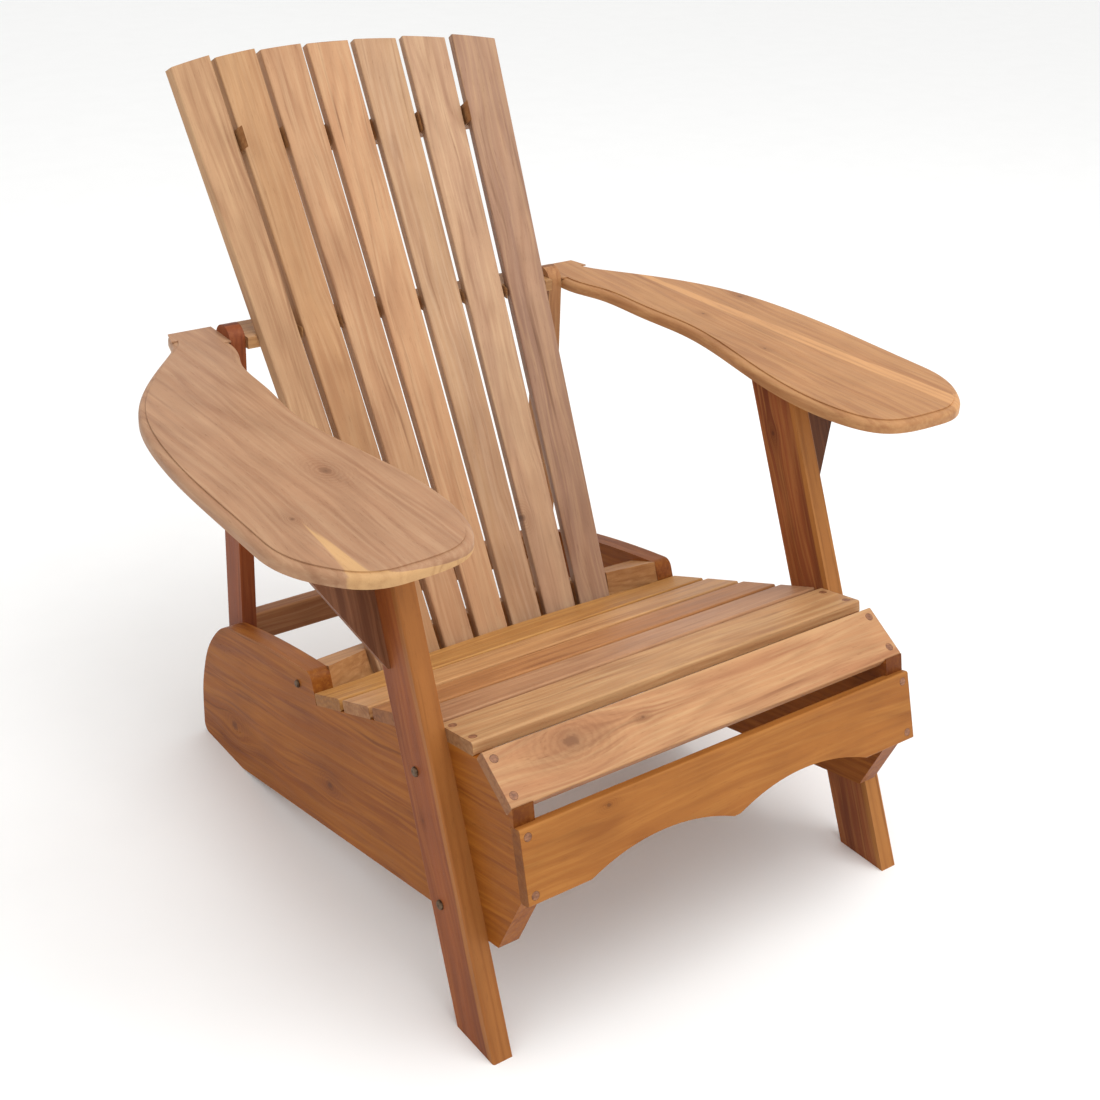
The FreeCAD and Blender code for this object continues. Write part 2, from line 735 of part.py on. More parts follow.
def slat_screws():
    """Screws from behind each rail into each back slat, with the holes they need."""
    found = []
    for index in slat_numbers:
        axes = slat_axes(index)
        stretch = axes[4] / back_height
        s = (top_rail_low + top_rail_high) / 2
        seat = place(axes, 0.0, s * stretch, back_thickness)
        forward = back_point(0.0, 0.0, -1.0).sub(back_point(0.0, 0.0, 0.0))
        face = back_point(seat.x, s, top_rail_rear(seat.x))
        sunk = face.add(forward * 2.0)
        found.append((sunk, forward, (face.sub(seat)).dot(forward * -1.0) + 7.0, "top"))
        level = arm_height - arm_thickness / 2
        v = (level - place(axes, 0.0, 0.0, back_thickness).z) / axes[2].z
        seat = place(axes, 0.0, v, back_thickness)
        sunk = vec(seat.x, arm_rail_rear - 2.0, level)
        found.append((sunk, vec(0, -1, 0), arm_rail_rear - seat.y + 6.0, "arm"))
        forward = low_point(0.0, 0.0, -1.0).sub(low_point(0.0, 0.0, 0.0))
        x = axes[0].x
        face = low_point(x, 14.0, low_rail_rear(x))
        normal = axes[3]
        reach = face.sub(place(axes, 0.0, 0.0, back_thickness)).dot(normal) / -forward.dot(normal)
        found.append((face.add(forward * 2.0), forward, reach + 5.0, "low"))
    return found


# ---- build ---------------------------------------------------------------------------------
pieces = {}
seat_peg_pairs = seat_pegs()
frame_peg_pairs = frame_pegs()
peg_holes = [hole for peg, hole in seat_peg_pairs + frame_peg_pairs]

plug_rows = [
    plugged_screws(front_slat_front, front_slat_pitch, (13.0, 52.0)),
    plugged_screws(waterfall_front(), -waterfall_pitch, (12.5, 55.5)),
    plugged_screws(apron_foot(), -apron_pitch, (10.0, 73.0)),
]
plug_holes = [hole for row in plug_rows for hole in row[2]]

bolt_holes = []
leg_bolts = []
washers = []
nuts = []
outer = -seat_half_width - leg_thickness
for y, z in leg_bolt_places:
    shank = leg_thickness + side_thickness + 1.6 + nut_height + 3.0
    leg_bolts.append(bolt(outer, y, z, shank, bolt_head))
    washers.append(washer(-side_inner, y, z))
    nuts.append(nut(-side_inner + 1.6, y, z))
    bolt_holes.append(bolt_hole(outer, y, z, shank))

rail_bolt = bolt(-seat_half_width, rail_bolt_at.y, rail_bolt_at.z, side_thickness + 46.0, rail_bolt_head)
rail_hole = bolt_hole(-seat_half_width, rail_bolt_at.y, rail_bolt_at.z, side_thickness + 46.0)
post_bolts = []
post_holes = []
for y, z in post_bolt_places:
    shank = post_thickness + 12.0
    facing = bolt(-(side_inner - post_thickness), y, z, shank, bolt_head)
    turned = facing.mirror(vec(-(side_inner - post_thickness), 0, 0), vec(1, 0, 0))
    post_bolts.append(turned)
    hole = rod(vec(-(side_inner - post_thickness), y, z), vec(-1, 0, 0), bolt_radius + fit, shank + fit)
    post_holes.append(hole)

tail_screws = []
tail_holes = []
for y in (tail_fixing(1), tail_fixing(3)):
    at = vec(-(side_inner - post_thickness), y, arm_under(y) + arm_thickness / 2 - 1.0)
    tail_screws.append(screw(at, vec(-1, 0, 0), post_thickness + 28.0))
    tail_holes += screw_hole(at, vec(-1, 0, 0), post_thickness + 28.0)

slat_screw_places = slat_screws()
rail_screws = [screw(at, way, length) for at, way, length, where in slat_screw_places]
rail_screw_holes = {"top": [], "arm": [], "low": []}
for at, way, length, where in slat_screw_places:
    rail_screw_holes[where] += screw_hole(at, way, length) + [screw_access(at, way)]
slat_holes = rail_screw_holes["top"] + rail_screw_holes["arm"] + rail_screw_holes["low"]

left_board = bore(side_board(), peg_holes + plug_holes + bolt_holes + [rail_hole] + post_holes)
left_leg = bore(front_leg(), peg_holes + bolt_holes)
left_arm = bore(arm(), peg_holes + tail_holes)
left_gusset = bore(gusset(), peg_holes)
left_post = bore(post(), peg_holes + post_holes + tail_holes)

names = {
    "side_board": left_board,
    "front_leg": left_leg,
    "arm": left_arm,
    "arm_gusset": left_gusset,
    "rear_post": left_post,
}
for name, shape in names.items():
    pieces[name + "_right"] = shape
    pieces[name + "_left"] = mirror(shape)

for index, number in enumerate(slat_numbers):
    slat = bore(back_slat(-abs(number)), slat_holes)
    pieces["back_slat_%d" % (index + 1)] = mirror(slat) if number > 0 else slat
pieces["back_rail_top"] = bore(top_rail(), rail_screw_holes["top"])
pieces["back_rail_arm"] = bore(arm_rail(), rail_screw_holes["arm"] + peg_holes)
pieces["back_rail_low"] = bore(low_rail(), rail_screw_holes["low"] + [rail_hole, mirror(rail_hole)])
pieces["rear_stretcher"] = bore(stretcher(), peg_holes)

pieces["seat_slat_1"] = bore(rear_slat(), peg_holes)
for index in range(1, 4):
    board = seat_board(flat_slat_front(index), seat_pitch, slat_width)
    pieces["seat_slat_%d" % (index + 1)] = bore(board, peg_holes)
pieces["seat_slat_5"] = bore(seat_board(front_slat_front, front_slat_pitch, front_slat_width), plug_holes)
pieces["seat_waterfall_slat"] = bore(waterfall_slat(), plug_holes)
pieces["front_apron"] = bore(apron(), plug_holes)

pieces["wood_plugs"] = Part.makeCompound([plug for row in plug_rows for plug in row[0]])
pieces["seat_screws"] = Part.makeCompound([one for row in plug_rows for one in row[1]])
pieces["back_slat_screws"] = Part.makeCompound(rail_screws)
pieces["arm_tail_screws"] = Part.makeCompound(tail_screws + [mirror(one) for one in tail_screws])
pieces["leg_bolts"] = Part.makeCompound(leg_bolts + [mirror(one) for one in leg_bolts])
pieces["leg_washers"] = Part.makeCompound(washers + [mirror(one) for one in washers])
pieces["leg_nuts"] = Part.makeCompound(nuts + [mirror(one) for one in nuts])
pieces["low_rail_bolts"] = Part.makeCompound([rail_bolt, mirror(rail_bolt)])
pieces["post_bolts"] = Part.makeCompound(post_bolts + [mirror(one) for one in post_bolts])
pieces["seat_dowels"] = Part.makeCompound([peg for peg, hole in seat_peg_pairs])
pieces["frame_dowels"] = Part.makeCompound([peg for peg, hole in frame_peg_pairs])

# ---- move the origin to the bottom centre and write ----------------------------------------
whole = Part.makeCompound(list(pieces.values())).optimalBoundingBox(False, False)
shift = vec(0, -(whole.YMin + whole.YMax) / 2, 0)
os.makedirs("parts", exist_ok=True)
for name, shape in pieces.items():
    moved = shape.copy()
    moved.translate(shift)
    moved.exportStep("parts/" + name + ".step")
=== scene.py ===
import math

import bpy
from mathutils import Matrix, Vector

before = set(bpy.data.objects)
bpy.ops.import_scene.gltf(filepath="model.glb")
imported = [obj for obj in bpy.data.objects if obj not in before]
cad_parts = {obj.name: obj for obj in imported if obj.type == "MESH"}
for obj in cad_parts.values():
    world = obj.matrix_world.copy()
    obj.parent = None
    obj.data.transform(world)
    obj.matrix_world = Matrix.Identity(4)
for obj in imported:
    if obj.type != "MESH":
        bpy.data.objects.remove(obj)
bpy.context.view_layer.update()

bpy.ops.object.select_all(action="DESELECT")


# ---- side boards ---------------------------------------------------------------------------
# Each side board is the seat rail and the rear leg in one, sawn from a wide plank of acacia.
# Its grain follows the long lower edge. It is planed, eased along its arrises and oiled.

def linear(code):
    """An sRGB hex colour as the linear values that a shader takes."""
    parts = [int(code[i:i + 2], 16) / 255 for i in (0, 2, 4)]
    parts = [c / 12.92 if c <= 0.04045 else ((c + 0.055) / 1.055) ** 2.4 for c in parts]
    return (*parts, 1.0)


def add(tree, kind, links=None, **settings):
    """Adds a node, gives it its settings, and links or sets its inputs."""
    made = tree.nodes.new(kind)
    for name, value in settings.items():
        setattr(made, name, value)
    for name, value in (links or {}).items():
        if isinstance(value, bpy.types.NodeSocket):
            tree.links.new(value, made.inputs[name])
        elif isinstance(value, bpy.types.Node):
            tree.links.new(value.outputs[0], made.inputs[name])
        else:
            made.inputs[name].default_value = value
    return made


def board_axes(node, grain):
    """A board's own directions (across, along its grain, out of its broad face), middle and half sizes."""
    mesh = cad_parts[node].data
    faces = {}
    for polygon in mesh.polygons:
        key = tuple(round(c, 1) for c in polygon.normal)
        found = faces.setdefault(key, [0.0, Vector((0, 0, 0))])
        found[0] += polygon.area
        found[1] += polygon.normal * polygon.area
    face = max(faces.values(), key=lambda f: f[0])[1].normalized()
    if face.z - 2 * face.y < 0 and abs(face.x) < 0.9:
        face = -face
    if abs(face.x) > 0.9:
        face = Vector((1, 0, 0))
    grain = Vector(grain)
    along = (grain - face * grain.dot(face)).normalized()
    axes = Matrix((along.cross(face), along, face)).transposed()
    places = [axes.transposed() @ v.co for v in mesh.vertices]
    low = Vector([min(p[i] for p in places) for i in range(3)])
    high = Vector([max(p[i] for p in places) for i in range(3)])
    return axes, axes @ ((low + high) / 2), (high - low) / 2


def oiled_acacia(node, grain, heart, pale, dark, seed, pith=(0, -60), tilt=(0.0, 0.04), ring=6.5,
                 knots=(), sapwood=None, stripe=0.5, streaks=0.5, end_grain=True):
    """Oiled acacia for one board. Sizes are millimetres in the board's own directions.

    Growth rings are cylinders round a pith that lies off the board and leans along it, so a broad
    face shows cathedrals, a narrow one straight lines and an end curved rings. The grain parts
    round each knot, broad ribbons of colour run along it, and pores show as short dark dashes.
    """
    axes, middle, half = board_axes(node, grain)
    half = half * 1000
    seed_shift = (seed * 37.0, seed * 113.0, seed * 59.0)
    material = bpy.data.materials.new("oiled_acacia_" + node)
    material.use_nodes = True
    tree = material.node_tree
    tree.nodes.clear()

    def maths(operation, a, b=0.0, c=0.0):
        return add(tree, "ShaderNodeMath", {0: a, 1: b, 2: c}, operation=operation)

    def blend(amount, a, b, how="MIX"):
        mixed = add(tree, "ShaderNodeMix", {0: amount, 6: a, 7: b}, data_type="RGBA", blend_type=how)
        return mixed.outputs[2]

    def darken(amount, a, code):
        return blend(amount, a, blend(1.0, a, linear(code), "MULTIPLY"))

    def ramp(value, low, high):
        return add(tree, "ShaderNodeMapRange", {0: value, 1: low, 2: high, 3: 0.0, 4: 1.0},
                   interpolation_type="SMOOTHSTEP")

    def noise(place, across, along, detail=2.0, rough=0.5):
        size = add(tree, "ShaderNodeVectorMath", {0: place, 1: (1 / across, 1 / along, 1 / across)},
                   operation="MULTIPLY")
        return add(tree, "ShaderNodeTexNoise",
                   {"Vector": size, "Scale": 1.0, "Detail": detail, "Roughness": rough})

    # Board coordinates in millimetres.
    where = add(tree, "ShaderNodeTexCoord")
    turned = add(tree, "ShaderNodeMapping",
                 {"Vector": where.outputs["Object"], "Location": middle, "Rotation": axes.to_euler()},
                 vector_type="TEXTURE")
    board = add(tree, "ShaderNodeVectorMath", {0: turned, "Scale": 1000.0}, operation="SCALE")
    offset = add(tree, "ShaderNodeVectorMath", {0: board, 1: seed_shift})
    split = add(tree, "ShaderNodeSeparateXYZ", {0: board})
    x, y, z = split.outputs[0], split.outputs[1], split.outputs[2]

    # Slow wander of the grain, then the way it parts round each knot.
    wander = noise(offset, 70.0, 330.0, 2.0)
    sway = add(tree, "ShaderNodeSeparateColor", {0: wander.outputs["Color"]})
    grain_x = maths("MULTIPLY_ADD", maths("SUBTRACT", sway.outputs[0], 0.5), 34.0, x)
    grain_z = maths("MULTIPLY_ADD", maths("SUBTRACT", sway.outputs[2], 0.5), 16.0, z)
    core = None
    halo = None
    swirls = None
    for knot_x, knot_y, size in knots:
        away_x = maths("SUBTRACT", x, knot_x)
        away_y = maths("SUBTRACT", y, knot_y)
        wide = maths("POWER", maths("DIVIDE", away_x, size * 3.0), 2.0)
        long = maths("POWER", maths("DIVIDE", away_y, size * 6.0), 2.0)
        near = maths("EXPONENT", maths("MULTIPLY", maths("ADD", wide, long), -1.0))
        grain_x = maths("SUBTRACT", grain_x, maths("MULTIPLY", maths("MULTIPLY", near, 0.92), away_x))
        far = add(tree, "ShaderNodeCombineXYZ", {0: away_x, 1: maths("MULTIPLY", away_y, 0.72), 2: 0.0})
        ragged = maths("MULTIPLY_ADD", noise(offset, 5.0, 5.0, 3.0), size * 0.9, -size * 0.45)
        distance = add(tree, "ShaderNodeVectorMath", {0: far}, operation="LENGTH").outputs["Value"]
        reach = maths("ADD", distance, ragged)
        spot = ramp(reach, size * 1.2, size * 0.1)
        turns = maths("DIVIDE", maths("MULTIPLY_ADD", sway.outputs[1], 18.0, reach), size * 0.7)
        core = spot if core is None else maths("MAXIMUM", core, spot)
        halo = near if halo is None else maths("MAXIMUM", halo, near)
        swirls = turns if swirls is None else maths("MINIMUM", swirls, turns)

    # Distance from the leaning pith, in rings whose width drifts.
    from_x = maths("ADD", maths("MULTIPLY_ADD", y, tilt[0], grain_x), -pith[0])
    from_z = maths("ADD", maths("MULTIPLY_ADD", y, tilt[1], grain_z), -pith[1])
    squares = maths("ADD", maths("MULTIPLY", from_x, from_x), maths("MULTIPLY", from_z, from_z))
    radius = maths("SQRT", squares)
    warped = add(tree, "ShaderNodeCombineXYZ", {0: grain_x, 1: y, 2: grain_z})
    moved = add(tree, "ShaderNodeVectorMath", {0: warped, 1: seed_shift})
    drift = noise(moved, 26.0, 420.0, 2.0)
    count = maths("MULTIPLY_ADD", drift, 3.2, maths("DIVIDE", radius, ring))
    wave = maths("MULTIPLY_ADD", maths("COSINE", maths("MULTIPLY", count, 2 * math.pi)), 0.5, 0.5)
    line = maths("POWER", wave, 2.0)

    # Ribbons of colour 20 to 50 mm wide, finer threads 5 mm wide, and dark mineral streaks.
    ribbon = ramp(noise(moved, 24.0, 460.0, 2.0, 0.5), 0.32, 0.70)
    thread = noise(moved, 4.5, 190.0, 3.0, 0.55)
    streak = ramp(noise(moved, 8.0, 260.0, 2.0, 0.55), 0.60, 0.82)
    mottle = noise(offset, 46.0, 70.0, 2.0)
    # Pores are about 0.2 by 4 mm. They are drawn four times as coarse, so that they show.
    pore = ramp(noise(moved, 0.9, 17.0, 2.0, 0.6), 0.60, 0.74)
    fibre = noise(offset, 0.8, 40.0, 2.0, 0.65)

    colour = blend(maths("MULTIPLY", ribbon, stripe), linear(heart), linear(dark))
    colour = blend(maths("MULTIPLY", ramp(thread, 0.40, 0.72), 0.55), colour, linear(pale))

    # Sapwood: a cream band with its place across the board, slope, half width, taper, spread with depth.
    if sapwood:
        edge, slope, width, taper, spread, cream = sapwood
        under = maths("SUBTRACT", half.z, z)
        ragged = maths("MULTIPLY_ADD", noise(moved, 11.0, 260.0, 2.0), 12.0, -6.0)
        side = maths("ADD", maths("MULTIPLY_ADD", y, slope, x), ragged)
        side = maths("SUBTRACT", side, maths("MULTIPLY_ADD", under, spread, edge))
        wide = maths("MULTIPLY_ADD", under, spread, maths("MULTIPLY_ADD", y, taper, width))
        inside = maths("SUBTRACT", wide, maths("ABSOLUTE", side))
        sap = ramp(inside, -1.6, 1.6)
        colour = blend(maths("MULTIPLY", sap, 0.85), colour, linear(cream))

    # Ring lines come and go. Over them lie streaks, slow light and dark patches, fibres and pores.
    fade = ramp(noise(moved, 40.0, 160.0, 2.0), 0.35, 0.65)
    lines = maths("MULTIPLY", line, maths("MULTIPLY_ADD", fade, 0.20, 0.07))
    colour = darken(lines, colour, "a87e66")
    colour = darken(maths("MULTIPLY", streak, streaks), colour, "8c6a58")
    tone = maths("MULTIPLY_ADD", fibre, 0.20, maths("MULTIPLY_ADD", mottle, 0.26, 0.77))
    grey = add(tree, "ShaderNodeCombineColor", {0: tone, 1: tone, 2: tone})
    colour = blend(1.0, colour, grey.outputs[0], "MULTIPLY")
    colour = darken(maths("MULTIPLY", pore, 0.24), colour, "9c7c68")
    if core:
        swirl = maths("MULTIPLY_ADD", maths("COSINE", maths("MULTIPLY", swirls, 2 * math.pi)), 0.09, 0.30)
        colour = darken(maths("MULTIPLY", halo, swirl), colour, "9a6a4c")
        heart_of_knot = blend(0.35, linear("3f261a"), linear(dark))
        colour = blend(maths("MULTIPLY", core, 0.72), colour, heart_of_knot)

    # Sawn ends soak up oil and go darker. A painted highlight pales the eased arrises a little, where their
    # rounding would catch the light.
    if end_grain:
        ends = ramp(maths("ABSOLUTE", y), half.y - 0.7, half.y - 0.15)
        colour = darken(maths("MULTIPLY", ends, 0.55), colour, "8a6450")
    # Painted highlight: the colour turns paler within about 3 mm of each long arris.
    painted_edge_highlight = maths("MULTIPLY", ramp(maths("ABSOLUTE", x), half.x - 3.4, half.x - 1.2),
                   ramp(maths("ABSOLUTE", z), half.z - 3.0, half.z - 1.0))
    colour = blend(maths("MULTIPLY", painted_edge_highlight, 0.22), colour, linear(pale))

    # The oil sits in a thin satin film. Rings, pores and fibres leave a shallow relief.
    gloss = maths("MULTIPLY_ADD", pore, 0.10, maths("MULTIPLY_ADD", line, -0.05, 0.40))
    gloss = maths("MULTIPLY_ADD", fibre, 0.16, gloss)
    relief = maths("SUBTRACT", maths("MULTIPLY_ADD", fibre, 0.5, maths("MULTIPLY", line, 0.35)), pore)
    bump = add(tree, "ShaderNodeBump", {"Strength": 0.35, "Distance": 0.00035, "Height": relief})
    shader = add(tree, "ShaderNodeBsdfPrincipled",
                 {"Base Color": colour, "Roughness": gloss, "IOR": 1.48, "Specular IOR Level": 0.15,
                  "Normal": bump})
    add(tree, "ShaderNodeOutputMaterial", {"Surface": shader})
    return material


def finish_with(node, material):
    """Puts a material on every slot of a node."""
    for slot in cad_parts[node].material_slots:
        slot.material = material


under_slope = math.radians(11.3)
plank = (0, math.cos(under_slope), -math.sin(under_slope))
finish_with("side_board_right", oiled_acacia(
    "side_board_right", plank, "91531b", "a76825", "733812", 3,
    pith=(30, -95), tilt=(0.02, 0.05), ring=13.0, stripe=0.6, streaks=0.6,
    knots=((47, 286, 8.0), (43, 18, 6.0), (-20, -250, 2.5))))
finish_with("side_board_left", oiled_acacia(
    "side_board_left", plank, "8a4d1d", "a26328", "6d3514", 4,
    pith=(-40, -80), tilt=(-0.03, 0.04), ring=12.0, stripe=0.6, streaks=0.5,
    knots=((-30, 120, 5.0),)))


# ---- front legs and their gussets ----------------------------------------------------------
# The front legs are straight lengths of redder heartwood, leaning back and sawn level at the foot.
# The triangular gussets under the arms are dowelled to the outer faces of the legs; their colours hold
# painted shade from the arms above, darker on the left gusset.

leg_rake = (0, math.tan(math.radians(22.5)), 1)
finish_with("front_leg_right", oiled_acacia(
    "front_leg_right", leg_rake, "8b4b26", "9c5d2e", "70381c", 5,
    pith=(10, -90), tilt=(0.01, 0.02), ring=11.0, stripe=0.6, streaks=0.5,
    knots=((12, -60, 1.8),), sapwood=(-32.0, 0.0, 9.0, 0.0, 0.0, "a06734"), end_grain=False))
finish_with("front_leg_left", oiled_acacia(
    "front_leg_left", leg_rake, "8f502e", "af7743", "65321f", 6,
    pith=(-30, -70), tilt=(0.02, 0.03), ring=11.0, stripe=0.7, streaks=0.7,
    knots=((12.6, 239, 3.2), (9, -150, 1.8)), sapwood=(-34.0, 0.0, 8.0, 0.0, 0.0, "a97038"),
    end_grain=False))
# Gusset colours are darkened with painted shade from the arm overhead; the left gusset carries more of it.
gusset_looks_with_painted_shade = {
    "arm_gusset_right": ("7d5239", "996a4c", "5c3727", 7),
    "arm_gusset_left": ("66402a", "805336", "4a2a1c", 8),
}
for node, (heart, pale, dark, seed) in gusset_looks_with_painted_shade.items():
    finish_with(node, oiled_acacia(
        node, (0, 0.38, 0.92), heart, pale, dark, seed,
        pith=(20, -50), tilt=(0.05, 0.04), ring=6.0, stripe=0.7, streaks=0.8, end_grain=False))


# ---- seat ----------------------------------------------------------------------------------
# Five flat slats across the side boards, a broader one rolling over the front and an arched apron.
# All are planed acacia boards with eased edges; the front three are screwed and plugged.

seat_looks = {
    "seat_slat_1": ("bd884c", "cf9f5f", "a06b38", 11, (6, -70), (0.01, 0.03), 10.0),
    "seat_slat_2": ("c28f5e", "d6aa76", "9e6c43", 12, (-20, -50), (-0.01, 0.05), 11.0),
    "seat_slat_3": ("af7849", "c18b5a", "945f3a", 13, (15, -90), (0.01, 0.03), 9.0),
    "seat_slat_4": ("b0815e", "c19771", "976847", 14, (-10, -60), (0.02, 0.04), 11.0),
    "seat_slat_5": ("b98b60", "caa678", "a1744c", 15, (20, -45), (-0.02, 0.05), 10.0),
}
for node, (heart, pale, dark, seed, pith, tilt, ring) in seat_looks.items():
    finish_with(node, oiled_acacia(
        node, (1, 0, 0), heart, pale, dark, seed, pith=pith, tilt=tilt, ring=ring, stripe=0.55, streaks=0.45))
finish_with("seat_waterfall_slat", oiled_acacia(
    "seat_waterfall_slat", (1, 0, 0), "b98960", "c59e72", "a46e4c", 16,
    pith=(-8, -30), tilt=(0.02, 0.06), ring=10.0, stripe=0.6, streaks=0.5,
    knots=((-11, -179, 10.0), (-7, -86, 2.2))))
finish_with("front_apron", oiled_acacia(
    "front_apron", (1, 0, 0), "9f642d", "ac7438", "8b5223", 17,
    pith=(15, -80), tilt=(0.01, 0.05), ring=13.0, stripe=0.45, streaks=0.4,
    knots=((-30, -168, 3.0),)))


# ---- back slats ----------------------------------------------------------------------------
# Seven tapered slats fan out from the seat to a shallow arch. Each comes from a different plank,
# so they run from pale gold to pink and grey brown, and the arrises are eased on the front.

back_lean = math.radians(31.0)
fan = 0.0225
back_looks = [
    ("b28b68", "bf9b75", "996f50", 21, (-30, -60), (0.02, 0.03), (), 0.55, 0.9),
    ("b28861", "be9871", "9f704f", 22, (10, -90), (0.0, 0.02), (), 0.45, 0.4),
    ("b78d69", "c39e79", "9e6f4f", 23, (-15, -60), (0.01, 0.03), (), 0.55, 0.5),
    ("bc906b", "c6a27c", "a87957", 24, (25, -70), (-0.02, 0.03), (), 0.5, 0.6),
    ("b6906d", "c2a182", "9d765c", 25, (0, -80), (0.01, 0.02), (), 0.55, 0.4),
    ("b89373", "c7a583", "a27b63", 26, (-5, -22), (0.0, 0.055), ((-23, -264, 4.0),), 0.5, 0.4),
    ("aa856a", "b99573", "8b6958", 27, (15, -75), (0.02, 0.03), ((-29, -314, 3.0),), 0.75, 0.5),
]
for index, (heart, pale, dark, seed, pith, tilt, knots, stripe, streaks) in enumerate(back_looks):
    node = "back_slat_%d" % (index + 1)
    rise = (fan * (index - 3), math.sin(back_lean), math.cos(back_lean))
    finish_with(node, oiled_acacia(
        node, rise, heart, pale, dark, seed,
        pith=pith, tilt=tilt, ring=10.0, stripe=stripe, streaks=streaks, knots=knots))


# ---- back rails, rear posts and stretcher --------------------------------------------------
# The slats are screwed to a curved batten at the top, a hollowed rail between the posts at arm
# height and a thick rail behind the seat. The stretcher ties the posts and stays in deep shade.

rail_looks = {
    "back_rail_top": ("a2744a", "b3885a", "855838", 31, (1, 0, 0)),
    "back_rail_arm": ("ab8054", "c09566", "8c6040", 32, (1, 0, 0)),
    "back_rail_low": ("b07f50", "c29362", "905f3a", 33, (1, 0, 0)),
    "rear_stretcher": ("a27048", "b98a62", "80523a", 34, (1, 0, 0)),
    "rear_post_right": ("854526", "93532e", "6c351b", 35, (0, 0, 1)),
    "rear_post_left": ("ad7b50", "bd8e60", "8f6040", 36, (0, 0, 1)),
}
for node, (heart, pale, dark, seed, grain) in rail_looks.items():
    finish_with(node, oiled_acacia(
        node, grain, heart, pale, dark, seed,
        pith=(8, -55), tilt=(0.01, 0.03), ring=9.0, stripe=0.55, streaks=0.5,
        end_grain=node != "rear_stretcher"))


# ---- arms ----------------------------------------------------------------------------------
# Each arm is one wide oiled board, screwed to a rear post at its tail. Cream sapwood runs through to
# the front. A router has stepped the edge down and rounded it, so the sapwood shows wider there.

finish_with("arm_right", oiled_acacia(
    "arm_right", (0, 1, 0), "aa8263", "b48f6f", "986c4f", 41,
    pith=(30, -20), tilt=(0.03, 0.05), ring=16.0, stripe=0.4, streaks=0.12,
    knots=((28, -107, 6.5), (-53, -187, 3.0)),
    sapwood=(-44.2, -0.019, -19.2, -0.094, 5.0, "c79d6c"), end_grain=False))
finish_with("arm_left", oiled_acacia(
    "arm_left", (0, 1, 0), "ae7e54", "ba8e60", "976641", 42,
    pith=(-60, -50), tilt=(-0.02, 0.03), ring=13.0, stripe=0.5, streaks=0.25,
    knots=((68, 94, 4.0), (-23, 66, 2.6), (-37, -71, 2.2)),
    sapwood=(23.3, 0.08, 8.5, -0.011, 3.0, "c79463"), end_grain=False))


# ---- plugs and dowels ----------------------------------------------------------------------
# Face-grain plugs hide the screws in the front boards. Plugs and dowels are turned from a darker
# and a paler offcut, and the plugs stand out as small dark discs.

def turned_hardwood(name, heart, dark, seed):
    """Close-grained turned wood with fine straight fibres and a faint ring figure."""
    material = bpy.data.materials.new(name)
    material.use_nodes = True
    tree = material.node_tree
    tree.nodes.clear()
    place = add(tree, "ShaderNodeTexCoord").outputs["Object"]
    # Fibres are 0.6 mm wide and about 12 mm long, running across the chair.
    size = add(tree, "ShaderNodeMapping",
               {"Vector": place, "Location": (seed, 0, 0), "Scale": (80.0, 1600.0, 1600.0)})
    fibre = add(tree, "ShaderNodeTexNoise", {"Vector": size, "Scale": 1.0, "Detail": 3.0})
    patch = add(tree, "ShaderNodeTexNoise", {"Vector": place, "Scale": 260.0, "Detail": 2.0})
    mixed = add(tree, "ShaderNodeMath", {0: fibre, 1: patch}, operation="MULTIPLY")
    amount = add(tree, "ShaderNodeMapRange", {0: mixed, 1: 0.14, 2: 0.40, 3: 0.0, 4: 1.0})
    colour = add(tree, "ShaderNodeMix", {0: amount, 6: linear(dark), 7: linear(heart)}, data_type="RGBA")
    gloss = add(tree, "ShaderNodeMath", {0: fibre, 1: 0.2, 2: 0.42}, operation="MULTIPLY_ADD")
    bump = add(tree, "ShaderNodeBump", {"Strength": 0.3, "Distance": 0.0002, "Height": fibre})
    shader = add(tree, "ShaderNodeBsdfPrincipled",
                 {"Base Color": colour.outputs[2], "Roughness": gloss, "IOR": 1.48, "Normal": bump})
    add(tree, "ShaderNodeOutputMaterial", {"Surface": shader})
    return material


finish_with("wood_plugs", turned_hardwood("oiled_face_grain_plug", "a06c48", "6e4227", 1.0))
dowel_wood = turned_hardwood("turned_beech_dowel", "d2ab7c", "b08657", 2.0)
finish_with("seat_dowels", dowel_wood)
finish_with("frame_dowels", dowel_wood)


# ---- bolts, nuts, washers and screws -------------------------------------------------------
# Round-headed bolts with nuts and washers hold the frame; countersunk screws hold the slats.
# They are zinc plated steel, dulled and browned by handling and weather.

def zinc_plate(name, base, tarnish, roughness):
    """Zinc plated steel: a dull metal with brown tarnish in patches and fine handling marks."""
    material = bpy.data.materials.new(name)
    material.use_nodes = True
    tree = material.node_tree
    tree.nodes.clear()
    place = add(tree, "ShaderNodeTexCoord").outputs["Object"]
    # Tarnish comes in patches of about 4 mm, handling marks every 0.8 mm.
    patch = add(tree, "ShaderNodeTexNoise", {"Vector": place, "Scale": 250.0, "Detail": 4.0})
    marks = add(tree, "ShaderNodeTexNoise", {"Vector": place, "Scale": 1250.0, "Detail": 2.0})
    amount = add(tree, "ShaderNodeMapRange", {0: patch, 1: 0.42, 2: 0.66, 3: 0.0, 4: 1.0})
    colour = add(tree, "ShaderNodeMix", {0: amount, 6: linear(base), 7: linear(tarnish)}, data_type="RGBA")
    dull = add(tree, "ShaderNodeMath", {0: patch, 1: 0.25, 2: roughness - 0.12}, operation="MULTIPLY_ADD")
    bump = add(tree, "ShaderNodeBump", {"Strength": 0.25, "Distance": 0.0001, "Height": marks})
    shader = add(tree, "ShaderNodeBsdfPrincipled",
                 {"Base Color": colour.outputs[2], "Metallic": 1.0, "Roughness": dull, "Normal": bump})
    add(tree, "ShaderNodeOutputMaterial", {"Surface": shader})
    return material


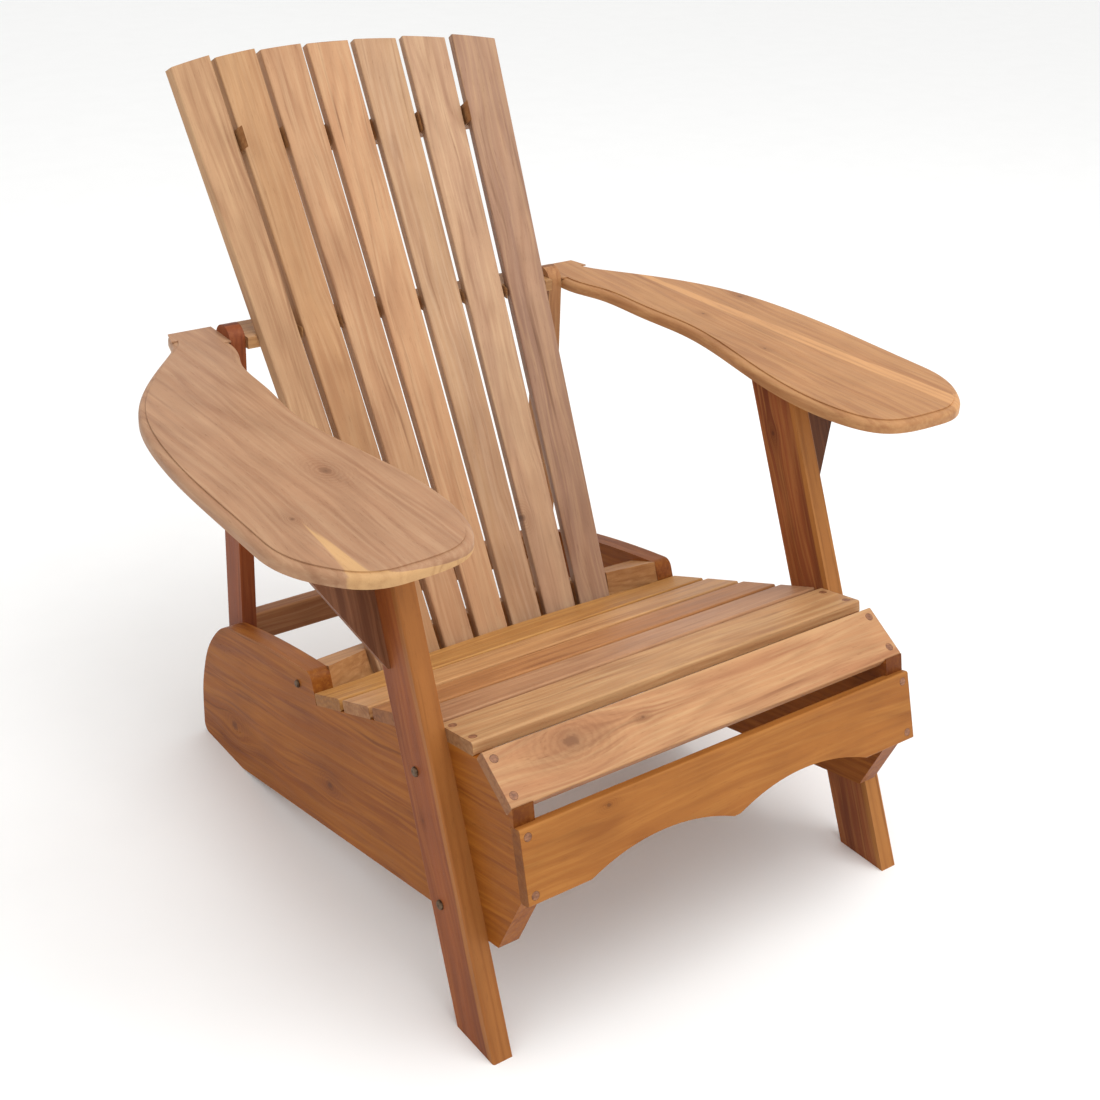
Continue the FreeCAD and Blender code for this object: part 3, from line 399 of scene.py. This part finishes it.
bolt_metal = zinc_plate("weathered_zinc_plated_steel", "715d4b", "4c392c", 0.5)
screw_metal = zinc_plate("yellow_zinc_plated_steel", "a0916c", "6b5a40", 0.38)
for node in ("leg_bolts", "leg_washers", "leg_nuts", "low_rail_bolts", "post_bolts"):
    finish_with(node, bolt_metal)
for node in ("seat_screws", "back_slat_screws", "arm_tail_screws"):
    finish_with(node, screw_metal)


# ---- floor, light and camera ---------------------------------------------------------------
# A pale seamless floor, soft light from above and in front, and an even white surround.
# The camera stands to the sitter's right, above the seat, a little over two metres away.

bpy.ops.mesh.primitive_plane_add(size=60.0, location=(0, 0, 0))
floor = bpy.context.object
floor.name = "studio_floor"
paper = bpy.data.materials.new("matt_white_paper")
paper.use_nodes = True
tree = paper.node_tree
tree.nodes.clear()
where = add(tree, "ShaderNodeTexCoord")
tooth = add(tree, "ShaderNodeTexNoise", {"Vector": where.outputs["Object"], "Scale": 9.0, "Detail": 3.0})
shade = add(tree, "ShaderNodeMix", {0: tooth, 6: linear("f7f7f6"), 7: linear("fbfbfa")}, data_type="RGBA")
surface = add(tree, "ShaderNodeBsdfPrincipled", {"Base Color": shade.outputs[2], "Roughness": 0.9})
add(tree, "ShaderNodeOutputMaterial", {"Surface": surface})
floor.data.materials.append(paper)

world = bpy.data.worlds.new("white_surround")
bpy.context.scene.world = world
world.use_nodes = True
world.node_tree.nodes["Background"].inputs["Color"].default_value = (1, 1, 1, 1)
world.node_tree.nodes["Background"].inputs["Strength"].default_value = 0.95

aim = Vector((0, 0, 0.4))
bpy.ops.object.light_add(type="AREA", location=(0.5, -1.3, 3.4))
overhead = bpy.context.object
overhead.data.shape = "RECTANGLE"
overhead.data.size = 3.0
overhead.data.size_y = 2.4
overhead.data.energy = 64.0
overhead.rotation_euler = (aim - overhead.location).to_track_quat("-Z", "Y").to_euler()
bpy.ops.object.light_add(type="AREA", location=(2.0, -3.2, 1.5))
front = bpy.context.object
front.data.shape = "RECTANGLE"
front.data.size = 1.8
front.data.size_y = 1.8
front.data.energy = 7.0
front.rotation_euler = (aim - front.location).to_track_quat("-Z", "Y").to_euler()

camera_place = Vector((-1.0932, -1.5543, 1.3010))
azimuth, elevation, roll = math.radians(-36.64), math.radians(21.73), math.radians(1.9)
flat = math.cos(elevation)
behind = Vector((math.sin(azimuth) * flat, -math.cos(azimuth) * flat, math.sin(elevation)))
level = (-behind).cross(Vector((0, 0, 1))).normalized()
upward = level.cross(-behind)
sideways = level * math.cos(roll) + upward * math.sin(roll)
upward = upward * math.cos(roll) - level * math.sin(roll)
bpy.ops.object.camera_add()
camera = bpy.context.object
stand = Matrix((sideways, upward, behind)).transposed().to_4x4()
stand.translation = camera_place
camera.matrix_world = stand
camera.data.sensor_width = 36.0
camera.data.lens = 54.66
camera.data.shift_y = -0.136
bpy.context.scene.camera = camera
bpy.context.scene.view_settings.view_transform = "Standard"
